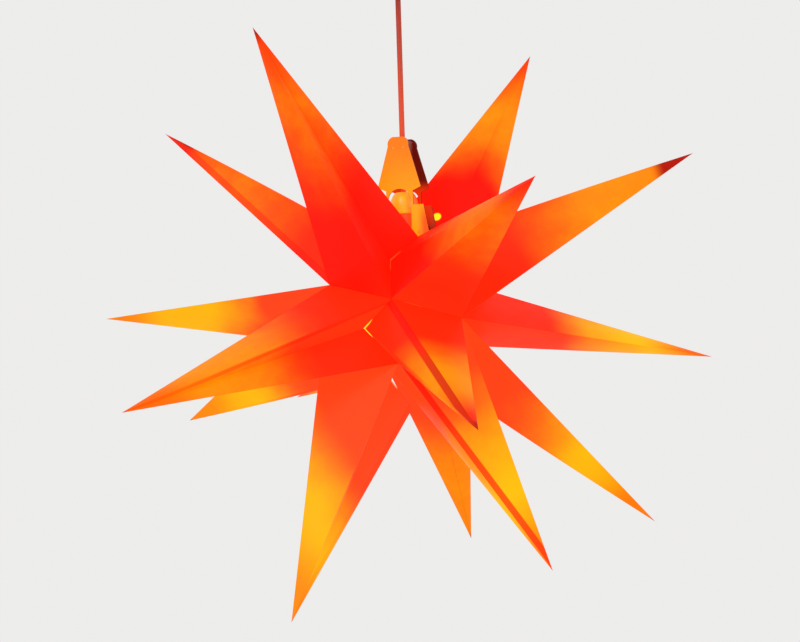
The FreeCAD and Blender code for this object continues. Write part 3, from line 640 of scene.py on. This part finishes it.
def film_finish(name, tip, ring, look):
    """Tinted film lit from inside: a soft change of colour, painted facet light, glue flap, folds, seams,
    painted shade at the tip and leaks.
    """
    film = Finish("film_" + name)
    place = film.place()
    # tone: the painted facet light written on each panel
    tone = film.attribute("tone")
    seam = film.attribute("seam")
    clouds = film.noise(place, *CLOUDS)
    wisps = film.noise(place, *WISPS)
    grain = film.noise(place, *GRAIN)
    colour, lit = film_colour(film, look, film.attribute("along"), tone, clouds, wisps)
    if name in FLAPS:
        flap_colour, strength = FLAPS[name][2:]
        double = film.step(film.attribute("flap"), FLAP_W + FLAP_EDGE, FLAP_W - FLAP_EDGE)
        doubled = film.mix(lit, linear(RED), linear(flap_colour))
        colour = film.mix(double * strength, colour, doubled)
    crease = film.step(film.attribute("fold"), FOLD_W, 0.0)
    colour = film.mix(crease * 0.3, colour, film.shade(colour, 0.6))
    joined = film.step(seam, SEAM_W, 0.0)
    colour = film.mix(joined * 0.4, colour, linear(EMBER))
    if name in LEAKS:
        reach, leak_colour = LEAKS[name][1:]
        along_seam = film.near(place, tuple(leak_place(name, ring)), reach)
        leak = film.step(seam, LEAK_W, LEAK_W * 0.4) * along_seam
        colour = film.mix(film.step(leak, 0.02, 0.3), colour, linear(leak_colour))
    if name == LAMP_SPOT[0]:
        spot = film.near(place, tuple(point_under(LAMP_SPOT[1], tip, ring)), LAMP_SPOT[2])
        colour = film.mix(film.step(spot, 0.1, 0.45), colour, linear(LAMPLIGHT))
    # the glow varies at random with the wisps, and with tone, which is painted facet light
    glow = FILM_GLOW + (wisps - 0.5) * 0.08 + (tone - 0.5) * 0.05
    return film.surface(
        Base_Color=film.shade(colour, FILM_TINT),
        Emission_Color=film.shade(colour, glow),
        Emission_Strength=1.0,
        Roughness=film.step(wisps, 0.2, 0.9) * 0.12 + 0.46,
        Specular_IOR_Level=0.08,
        Normal=film.bump(grain * 0.3 + wisps, 0.3 * MM, 0.5),
    )


# ---------------------------------------------------------------- other finishes
# the hanger's colours: its lit face at the top, and painted brighter lower down nearer the lamp; the painted
# shade of its legs; the painted shade on its edges and on faces turned from the light; and the glow beside
# the notches
HANGER_TOP = (255, 120, 6)
HANGER_LIT = (255, 158, 14)
HANGER_LEG_SHADE = (255, 74, 8)
HANGER_SHADE = (96, 10, 3)
HANGER_NOTCH_GLOW = (214, 50, 6)

# depths under the hanger's top where the glow beside the notches starts, is full, and fades to the foot
NOTCH_FROM = 38 * MM
NOTCH_TO = 50 * MM
FOOT_FROM = 62 * MM

# the legs' shade: depths under the top, and distances from the middle, where it starts and is full
LEG_FROM = 55 * MM
LEG_TO = 80 * MM
LEG_INSIDE = 15 * MM
LEG_OUTSIDE = 24 * MM


def hanger_finish(name, behind=False):
    """Translucent moulded plastic, amber where it is lit through, and painted shade in dark red on its edges.

    The plate behind has painted shade too on the side that faces the front plate, except for the glow beside
    the notches.
    """
    shell = Finish(name)
    place = shell.place()
    low, high = (corner.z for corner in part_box("hanger_plate_front"))
    height = shell.height(place)
    # painted light: the lit face brightens from the top downwards, towards the lamp
    share = shell.step(height, high, low + 0.35 * (high - low))
    out_of_front = (-math.sin(HANGER_TURN), -math.cos(HANGER_TURN), 0)
    front = shell.step(shell.facing(out_of_front), 0.45, 0.9)
    back = shell.step(shell.facing(tuple(-c for c in out_of_front)), 0.45, 0.9)
    speckle = shell.noise(place, 160.0, 4.0, 0.6)
    mould = shell.noise(place, 900.0, 2.0, 0.5)
    lit = shell.mix(share + (speckle - 0.5) * 0.2, linear(HANGER_TOP), linear(HANGER_LIT))
    sideways = (math.cos(HANGER_TURN), -math.sin(HANGER_TURN), 0)
    from_middle = abs(shell.vector("DOT_PRODUCT", {0: place, 1: sideways}))
    outside = shell.step(from_middle, LEG_INSIDE, LEG_OUTSIDE)
    shaded_leg = outside * shell.step(height, high - LEG_FROM, high - LEG_TO)
    lit = shell.mix(shaded_leg * 0.9, lit, linear(HANGER_LEG_SHADE))
    # painted shade: dark red on the edges, and on the plate behind where it faces the front plate
    dark = linear(HANGER_SHADE)
    if behind:
        under = shell.step(height, high - NOTCH_FROM, high - NOTCH_TO)
        beside = under * shell.step(height, low, high - FOOT_FROM)
        shaded = shell.mix(beside, dark, linear(HANGER_NOTCH_GLOW))
        colour = shell.mix(back, shell.mix(front, dark, shaded), lit)
    else:
        colour = shell.mix(front + back * 0.8, dark, lit)
    return shell.surface(
        Base_Color=shell.shade(colour, 0.42),
        Emission_Color=shell.shade(colour, 0.8),
        Emission_Strength=1.0,
        Roughness=shell.step(speckle, 0.2, 0.8) * 0.12 + 0.34,
        Specular_IOR_Level=0.2,
        Normal=shell.bump(mould, 0.12 * MM, 0.4),
    )


def plastic_finish(name, colour, rough, glow=0.0, right_shade=None):
    """Moulded plastic with a faint flow pattern and a fine skin; the colour given for its right-hand side is
    painted shade, and a glow above 0 makes it shine.
    """
    shell = Finish(name)
    place = shell.place()
    flow = shell.noise(place, 45.0, 4.0, 0.6)
    skin = shell.noise(place, 700.0, 2.0, 0.5)
    deeper = shell.shade(linear(colour), 0.86)
    tint = shell.mix(shell.step(flow, 0.25, 0.8) * 0.5, linear(colour), deeper)
    # painted shade: the right-hand side turns to the given darker colour
    if right_shade:
        tint = shell.mix(shell.step(shell.facing((1, 0, 0)), -0.1, 0.8), tint, linear(right_shade))
    values = {
        "Base_Color": tint,
        "Roughness": shell.step(flow, 0.2, 0.9) * 0.12 + rough,
        "Normal": shell.bump(skin, 0.08 * MM, 0.35),
    }
    if glow > 0:
        values["Emission_Color"] = shell.shade(tint, glow)
        values["Emission_Strength"] = 1.0
    return shell.surface(**values)


def metal_finish(name, colour, rough):
    """Drawn or plated metal with fine streaks along the part and small dull spots."""
    metal = Finish(name)
    place = metal.place()
    stretch = metal.add("ShaderNodeMapping", {}, {"Vector": place, "Scale": (1.0, 12.0, 1.0)})
    streak = metal.noise(stretch, 220.0, 3.0, 0.6)
    spots = metal.noise(place, 130.0, 4.0, 0.65)
    dull = metal.shade(linear(colour), 0.7)
    tint = metal.mix(metal.step(spots, 0.4, 0.8) * 0.5, linear(colour), dull)
    return metal.surface(
        Base_Color=tint,
        Metallic=1.0,
        Roughness=metal.step(streak, 0.2, 0.8) * 0.2 + rough,
        Normal=metal.bump(streak, 0.05 * MM, 0.4),
    )


def cord_finish():
    """Smooth round sheath, lit red from below: fainter away from the hanger."""
    sheath = Finish("cord_sheath")
    place = sheath.place()
    low, top = (corner.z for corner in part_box("cord"))
    lit = sheath.step(sheath.height(place), top, low)
    rub = sheath.noise(place, 240.0, 4.0, 0.6)
    share = lit * 0.8 + (rub - 0.5) * 0.2
    colour = sheath.mix(share, linear((168, 44, 22)), linear((236, 78, 26)))
    return sheath.surface(
        Base_Color=colour,
        Emission_Color=sheath.shade(colour, 0.22),
        Emission_Strength=1.0,
        Roughness=sheath.step(rub, 0.2, 0.8) * 0.14 + 0.42,
        Normal=sheath.bump(rub, 0.1 * MM, 0.4),
    )


def glass_finish():
    """Warm lit lamp glass, brighter low on the globe."""
    glass = Finish("lamp_glass")
    place = glass.place()
    low, high = (corner.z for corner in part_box("bulb_glass"))
    share = glass.step(glass.height(place), high, low + 0.3 * (high - low))
    haze = glass.noise(place, 90.0, 3.0, 0.5)
    colour = glass.mix(share, linear((255, 196, 90)), linear((255, 236, 170)))
    return glass.surface(
        Base_Color=colour,
        Emission_Color=glass.shade(colour, 0.9 + (haze - 0.5) * 0.2),
        Emission_Strength=1.0,
        Roughness=glass.step(haze, 0.3, 0.8) * 0.06 + 0.08,
        Alpha=0.72,
        Coat_Weight=0.5,
    )


# ---------------------------------------------------------------- the pieces
# the wall of the moulded shells, and how far the cord runs straight at each end
SHELL_WALL = 1.6 * MM
STRAIGHT_END = 30 * MM

# the lampholder's cap
CORD_HOLE_R = 2.8 * MM
CORD_HOLE_PLAY = 0.3 * MM
CAP_TOP_R = 6 * MM
CAP_SKIRT_H = 5 * MM
CAP_STEPS = 20
BEAD_H = 2.2 * MM
BEAD_EDGE = 0.5 * MM
BEAD_W = 0.6 * MM

# its sleeve
SLEEVE_EDGE = 0.6 * MM
SLEEVE_MOUTH_R = 8.6 * MM
GROOVES = 7
GROOVE_FROM = 5 * MM
GROOVE_EVERY = 4 * MM
GROOVE_DEEP = 0.5 * MM
GROOVE_SLOPE = 0.4 * MM
GROOVE_W = 1.4 * MM

# the bulb's glass; its globe ends at an angle in degrees above the level
GLASS_WALL = 1 * MM
GLASS_NECK_R = 10 * MM
GLASS_NECK_H = 4 * MM
GLASS_POLE_R = 0.02 * MM
GLOBE_TO = 62
GLOBE_STEPS = 40

# the ceiling cup
CUP_BEND_R = 10 * MM
CUP_HOLE_R = 6 * MM
CUP_EDGE = 0.5 * MM
CUP_RIM_H = 5 * MM
CUP_RIM_SLOPE = 0.6 * MM
CUP_STEPS = 20


def make_cord():
    """The free cord, straight down from the collar's mouth into the hanger's block."""
    low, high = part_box("cord")
    heights = (high.z, high.z - STRAIGHT_END, low.z + STRAIGHT_END, low.z)
    curve = bpy.data.curves.new("free_cord", "CURVE")
    curve.dimensions = "3D"
    curve.bevel_depth = (high.x - low.x) / 2
    curve.bevel_resolution = 6
    curve.resolution_u = 8
    curve.use_fill_caps = True
    spline = curve.splines.new("NURBS")
    spline.points.add(len(heights) - 1)
    for point, z in zip(spline.points, heights):
        point.co = (0, 0, z, 1)
    spline.order_u = 3
    spline.use_endpoint_u = True
    curve.materials.append(cord_finish())
    piece = bpy.data.objects.new("free_cord", curve)
    stand_for(piece, "cord")


def make_film_star():
    for name, look in SPIKE_LOOKS.items():
        film_spike(name, look)


def make_hanger():
    shell = hanger_finish("hanger_plastic")
    for node in ("hanger_plate_front", "hanger_block", "hanger_saddles"):
        softened_piece(node, shell)
    softened_piece("hanger_plate_back", hanger_finish("hanger_plastic_back", True))


def holder_cap_profile():
    """Domed cap outline: rim bead, straight skirt, dome that closes in on the cord, and its inside."""
    low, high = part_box("holder_cap")
    radius = high.x
    skirt_r = radius - BEAD_W
    skirt_z = low.z + CAP_SKIRT_H
    rise = high.z - skirt_z
    bead = [(radius - BEAD_EDGE, low.z), (radius, low.z + BEAD_EDGE), (radius, low.z + BEAD_H)]
    skirt = [(skirt_r, low.z + BEAD_H + BEAD_EDGE), (skirt_r, skirt_z)]
    angles = np.radians(np.linspace(0, 90, CAP_STEPS))[1:]
    dome = [(CAP_TOP_R + (skirt_r - CAP_TOP_R) * math.cos(a), skirt_z + rise * math.sin(a)) for a in angles]
    hole = [(CORD_HOLE_R, high.z), (CORD_HOLE_R, high.z - SHELL_WALL)]
    inside = [(r - SHELL_WALL, z - SHELL_WALL) for r, z in dome]
    inside = [(r, z) for r, z in inside if r > CORD_HOLE_R + CORD_HOLE_PLAY]
    return bead + skirt + dome + hole + inside[::-1] + [(skirt_r - SHELL_WALL, low.z)]


def holder_sleeve_profile():
    """Straight sleeve outline with grip grooves round it, and a narrower mouth at its lower end."""
    low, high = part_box("holder_body")
    radius = high.x
    outside = [(radius - SLEEVE_EDGE, low.z), (radius, low.z + SLEEVE_EDGE)]
    for k in range(GROOVES):
        z = low.z + GROOVE_FROM + GROOVE_EVERY * k
        bottom = radius - GROOVE_DEEP
        outside += [(radius, z), (bottom, z + GROOVE_SLOPE)]
        outside += [(bottom, z + GROOVE_W - GROOVE_SLOPE), (radius, z + GROOVE_W)]
    floor = low.z + SHELL_WALL
    inside = [(radius - SHELL_WALL, high.z), (radius - SHELL_WALL, floor)]
    return outside + [(radius, high.z)] + inside + [(SLEEVE_MOUTH_R, floor), (SLEEVE_MOUTH_R, low.z)]


def make_holder():
    # painted light: the lampholder's cap and sleeve glow in the lamp's light, and the cap carries painted
    # shade on its right-hand side
    lamp_lit_holder = plastic_finish("holder_plastic", (255, 156, 22), rough=0.3, glow=0.75, right_shade=(255, 84, 10))
    turned_piece("holder_dome", "holder_cap", holder_cap_profile(), lamp_lit_holder)
    sleeve = plastic_finish("holder_sleeve", (255, 74, 20), rough=0.34, glow=0.6)
    turned_piece("holder_sleeve", "holder_body", holder_sleeve_profile(), sleeve)


def make_bulb():
    """A round globe that runs into a short straight neck, with its wall's inside."""
    low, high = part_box("bulb_glass")
    middle = (0, low.z + high.x)
    sides = []
    for inset in (0, GLASS_WALL):
        globe = arc(middle, high.x - inset, -90, GLOBE_TO, GLOBE_STEPS)
        neck_r = GLASS_NECK_R - inset
        neck = [(neck_r, high.z - GLASS_NECK_H), (neck_r, high.z)]
        sides.append([(max(r, GLASS_POLE_R), z) for r, z in globe] + neck)
    outer, inner = sides
    turned_piece("lamp_globe", "bulb_glass", outer + inner[::-1], glass_finish())


def make_ceiling_cup():
    """A shallow cup with a rounded bottom edge and a small bead at its rim."""
    low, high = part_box("canopy_cup")
    radius = high.x
    middle = (radius - CUP_BEND_R, low.z + CUP_BEND_R)
    white = plastic_finish("ceiling_white", (236, 235, 230), rough=0.3)
    bow = arc(middle, CUP_BEND_R, -90, -4, CUP_STEPS)
    rim = [(radius - CUP_EDGE, high.z - CUP_RIM_H), (radius, high.z - CUP_RIM_H + CUP_RIM_SLOPE)]
    rim += [(radius, high.z - CUP_EDGE), (radius - CUP_EDGE, high.z)]
    outer = [(CUP_HOLE_R, low.z)] + bow + rim
    inner = [(CUP_HOLE_R, low.z + SHELL_WALL)] + arc(middle, CUP_BEND_R - SHELL_WALL, -90, 0, CUP_STEPS)
    inner += [(radius - SHELL_WALL, high.z)]
    turned_piece("ceiling_cup", "canopy_cup", outer + inner[::-1], white)
    return white


def dress_other_nodes(white):
    """Every CAD node that stays takes its finish here."""
    steel = metal_finish("zinc_steel", (168, 170, 174), rough=0.28)
    brass = metal_finish("plain_brass", (206, 166, 92), rough=0.26)
    alloy = metal_finish("rolled_cap", (196, 197, 198), rough=0.24)
    moulding = plastic_finish("fitting_plastic", (226, 224, 214), rough=0.45)
    core = plastic_finish("core_insulation", (120, 66, 34), rough=0.4)
    # painted light: the cord's sheath inside the hanger and cup, and the film's closing tabs, glow in the
    # lamp's reds though they are no lamp
    sheath = plastic_finish("sheath_inside", (226, 62, 28), rough=0.42, glow=0.3)
    film = plastic_finish("tab_film", (255, 52, 16), rough=0.45, glow=0.6)
    black = plastic_finish("black_insulator", (22, 22, 26), rough=0.15)
    filament = plastic_finish("lit_filament", (255, 214, 120), rough=0.4, glow=1.6)
    stem = plastic_finish("stem_glass", (240, 226, 190), rough=0.12, glow=0.4)
    # painted light: the steel pins are painted amber and glow, as the lamp's light colours them
    pin = plastic_finish("pin_lamp_lit", (250, 114, 6), rough=0.34, glow=0.76)
    groups = (
        (pin, ("hanger_pins",)),
        (steel, ("hanger_grip_screw", "collar_screw", "ceiling_plate", "clamp_screws")),
        (brass, ("holder_thread", "holder_contact", "holder_screws", "terminal_screws")),
        (alloy, ("bulb_cap", "bulb_contact")),
        (moulding, ("holder_insert", "cord_clamp", "terminal_block")),
        (core, ("holder_cores", "canopy_cores")),
        (sheath, ("cord_in_hanger", "cord_in_canopy")),
        (film, ("closing_tabs",)),
        (black, ("bulb_insulator",)),
        (filament, ("bulb_filaments",)),
        (stem, ("bulb_stem",)),
        (white, ("canopy_collar", "bulb_collar")),
    )
    for finish, nodes in groups:
        for node in nodes:
            data = frame["nodes"][node].data
            data.materials.clear()
            data.materials.append(finish)


# ---------------------------------------------------------------- stage and light
FLOOR_Z = -4.2
FLOOR_R = 14.0
FLOOR_SIDES = 128
ROOM_LIGHT = 0.42
PALE = (0.85, 0.845, 0.835, 1.0)


class Room(Finish):
    """The world's nodes, added in the same way as a material's."""

    def __init__(self, name):
        self.world = bpy.data.worlds.new(name)
        self.world.use_nodes = True
        self.tree = self.world.node_tree
        self.background = next(n for n in self.tree.nodes if n.type == "BACKGROUND")


def seen_directly(finish):
    """1 for what the camera sees, also by way of gloss and glass, and 0 for light on the object."""
    rays = ("Is Camera Ray", "Is Glossy Ray", "Is Transmission Ray")
    seen = sum(finish.add("ShaderNodeLightPath", output=ray) for ray in rays)
    return finish.step(seen, 0.0, 1.0)


def make_stage():
    """A round pale floor, a stairwell's depth under the ceiling: x = r cos, y = r sin."""
    angles = np.linspace(0, 2 * math.pi, FLOOR_SIDES, endpoint=False)
    height = np.full(FLOOR_SIDES, FLOOR_Z)
    points = np.stack([FLOOR_R * np.cos(angles), FLOOR_R * np.sin(angles), height], axis=1)
    paint = Finish("floor_paint")
    tint = paint.noise(paint.place(), 3.0, 2.0)
    tone = paint.mix(tint, linear((232, 231, 228)), linear((226, 225, 222)))
    paler = paint.mix(seen_directly(paint), linear((0, 0, 0)), linear((156, 155, 153)))
    mesh = bpy.data.meshes.new("floor")
    mesh.from_pydata(points.tolist(), [], [list(range(FLOOR_SIDES))])
    mesh.materials.append(paint.surface(
        Base_Color=tone, Emission_Color=paler, Emission_Strength=1.0, Roughness=0.9))
    floor = bpy.data.objects.new("floor", mesh)
    bpy.context.scene.collection.objects.link(floor)


def soft_lamp(name, place, power, size):
    """A square soft light that looks at the star's centre."""
    data = bpy.data.lights.new(name, "AREA")
    data.energy = power
    data.size = size
    lamp = bpy.data.objects.new(name, data)
    away = np.array(place) - STAR_CENTRE
    level = math.hypot(away[0], away[1])
    lamp.location = place
    lamp.rotation_euler = (math.atan2(level, away[2]), 0, math.atan2(away[0], -away[1]))
    bpy.context.scene.collection.objects.link(lamp)


def make_light():
    room = Room("soft_room")
    light = (ROOM_LIGHT, ROOM_LIGHT, ROOM_LIGHT, 1.0)
    room.feed(room.background.inputs["Color"], room.mix(seen_directly(room), light, PALE))
    bpy.context.scene.world = room.world
    soft_lamp("key_light", place=(-1.4, -1.8, 1.1), power=26.0, size=1.2)
    soft_lamp("fill_light", place=(1.8, -1.4, 0.2), power=10.0, size=1.4)
    bpy.context.scene.view_settings.view_transform = "Standard"


make_camera()
make_cord()
make_film_star()
make_hanger()
make_holder()
make_bulb()
dress_other_nodes(make_ceiling_cup())
make_stage()
make_light()

bpy.context.view_layer.update()
